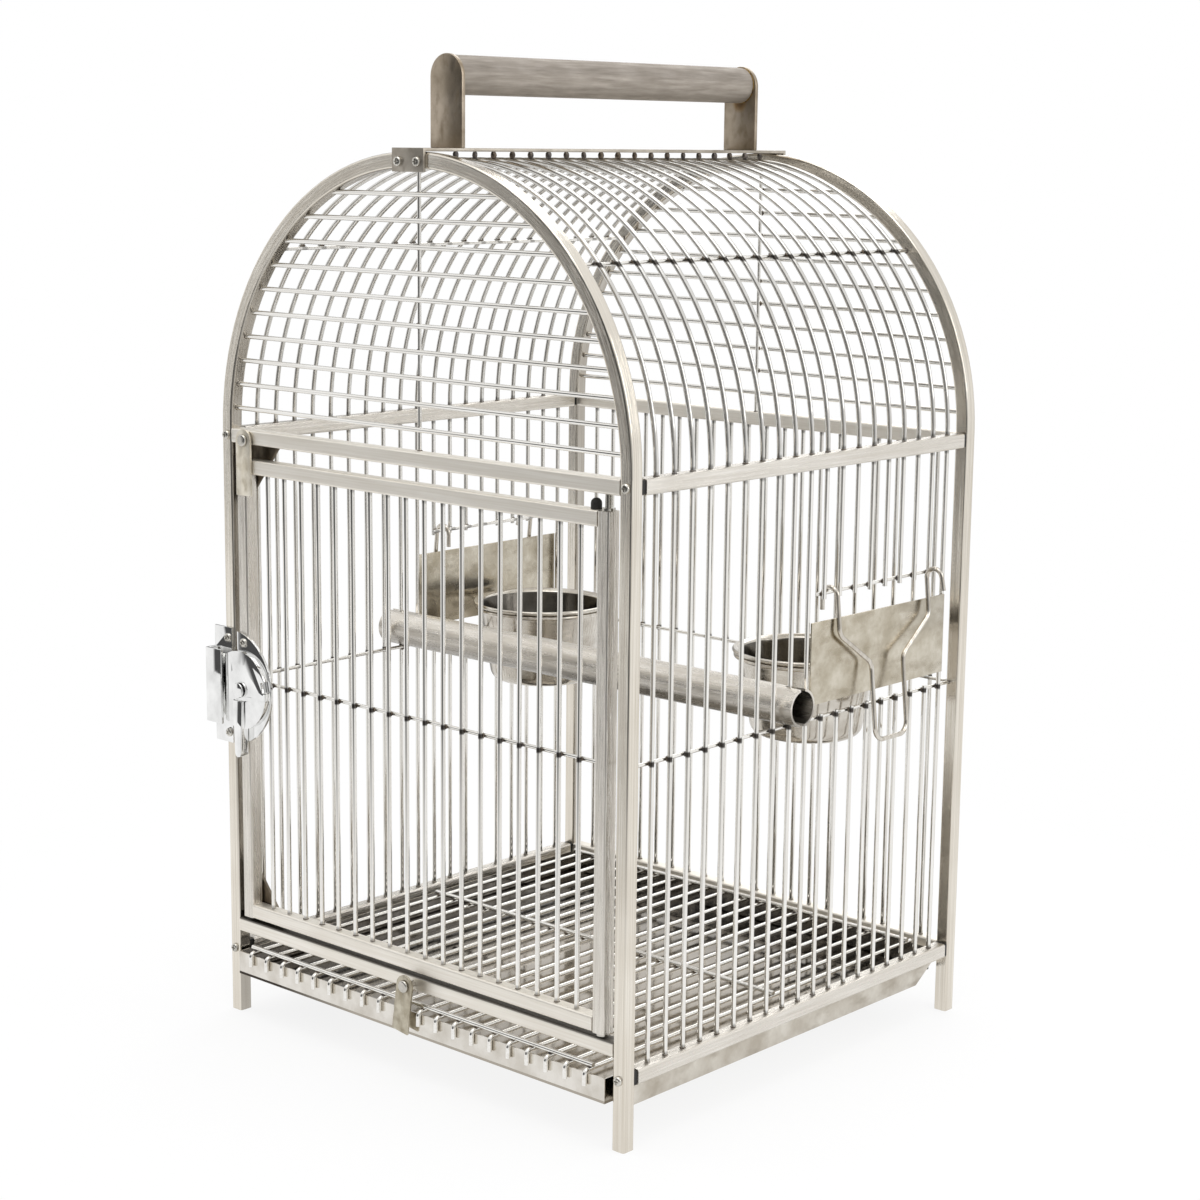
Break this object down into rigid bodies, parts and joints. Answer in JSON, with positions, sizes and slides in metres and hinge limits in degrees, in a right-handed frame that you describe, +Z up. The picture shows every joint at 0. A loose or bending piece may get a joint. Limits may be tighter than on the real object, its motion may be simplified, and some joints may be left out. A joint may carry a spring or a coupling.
{
  "type": "dome top parrot cage",
  "caption": "Stainless wire parrot carrier with a barrel dome, carrying handle, hinged front door with latch, slide-out tray and grate, hook-on feeding bowls and a perch.",
  "frame": {"origin": "on the floor under the middle of the cage's footprint", "axes": "+Z up, -Y out of the front door, +X to the right as seen from the front; the dome and the handle run along Y"},
  "size_m": [0.3852, 0.3544, 0.632],
  "materials": {
    "stainless": "satin stainless steel",
    "chrome_hardware": "bright plated",
    "polished_bowl": "polished stainless steel",
    "black_plug": "matt"
  },
  "bodies": {
    "cage": {"front_hoop": "stainless", "rear_hoop": "stainless", "front_top_rail": "stainless", "front_sill": "stainless", "rear_mid_rail": "stainless", "rear_bottom_rail": "stainless", "left_mid_rail": "stainless", "right_mid_rail": "stainless", "left_bottom_rail": "stainless", "right_bottom_rail": "stainless", "rail_end_plugs": "black_plug", "frame_screws": "chrome_hardware", "left_tray_guide": "stainless", "right_tray_guide": "stainless", "left_wall_bars": "stainless", "right_wall_bars": "stainless", "left_cross_wires": "stainless", "right_cross_wires": "stainless", "rear_wall_bars": "stainless", "rear_cross_wire": "stainless", "front_dome_wires": "stainless", "rear_dome_wires": "stainless", "dome_arch_bars": "stainless", "dome_side_wires": "stainless", "handle_strap": "stainless", "strap_screws": "chrome_hardware", "front_handle_bracket": "stainless", "rear_handle_bracket": "stainless", "handle_grip": "stainless", "door_stop": "stainless", "latch_strike": "chrome_hardware", "strike_screws": "chrome_hardware", "button_pins": "chrome_hardware"},
    "front_door": {"door_left_stile": "stainless", "door_right_stile": "stainless", "door_top_rail": "stainless", "door_bottom_rail": "stainless", "door_bars": "stainless", "door_cross_wire": "stainless", "hinge_pins": "stainless", "door_buffer": "black_plug", "latch_case": "chrome_hardware", "case_screw": "chrome_hardware", "latch_pivot": "chrome_hardware"},
    "latch_cam": {"latch_cam": "chrome_hardware"},
    "door_button": {"door_button": "stainless"},
    "tray_button": {"tray_button": "stainless"},
    "tray": {"tray": "stainless"},
    "grate": {"grate": "stainless"},
    "right_feeder": {"right_feeder_plate": "stainless", "right_hanger_wire": "stainless", "right_bowl_ring": "stainless"},
    "left_feeder": {"left_feeder_plate": "stainless", "left_hanger_wire": "stainless", "left_bowl_ring": "stainless"},
    "right_bowl": {"right_bowl": "polished_bowl"},
    "left_bowl": {"left_bowl": "polished_bowl"},
    "perch": {"perch": "stainless"}
  },
  "joints": [
    {"name": "door_hinge", "type": "hinge", "parent": "cage", "child": "front_door", "pos_m": [0.15675, -0.16565, 0.2229], "axis": [0, 0, 1], "range_deg": [0, 110]},
    {"name": "latch_turn", "type": "hinge", "parent": "front_door", "child": "latch_cam", "pos_m": [-0.1565, -0.174, 0.2255], "axis": [0, -1, 0], "range_deg": [0, 90]},
    {"name": "door_button_turn", "type": "hinge", "parent": "cage", "child": "door_button", "pos_m": [-0.1547, -0.1715, 0.3898], "axis": [0, -1, 0], "range_deg": [0, 90]},
    {"name": "tray_button_turn", "type": "hinge", "parent": "cage", "child": "tray_button", "pos_m": [0.001, -0.1777, 0.06125], "axis": [0, 1, 0], "range_deg": [0, 80]},
    {"name": "tray_slide", "type": "slide", "parent": "cage", "child": "tray", "axis": [0, -1, 0], "range_m": [0, 0.3]},
    {"name": "grate_slide", "type": "slide", "parent": "tray", "child": "grate", "axis": [0, -1, 0], "range_m": [0, 0.3]},
    {"name": "right_feeder_lift", "type": "slide", "parent": "cage", "child": "right_feeder", "axis": [0, 0, 1], "range_m": [0, 0.014]},
    {"name": "left_feeder_lift", "type": "slide", "parent": "cage", "child": "left_feeder", "axis": [0, 0, 1], "range_m": [0, 0.014]},
    {"name": "right_bowl_lift", "type": "slide", "parent": "right_feeder", "child": "right_bowl", "axis": [0, 0, 1], "range_m": [0, 0.07]},
    {"name": "left_bowl_lift", "type": "slide", "parent": "left_feeder", "child": "left_bowl", "axis": [0, 0, 1], "range_m": [0, 0.07]},
    {"name": "perch_lift", "type": "slide", "parent": "cage", "child": "perch", "axis": [0, 0, 1], "range_m": [0, 0.06]}
  ]
}
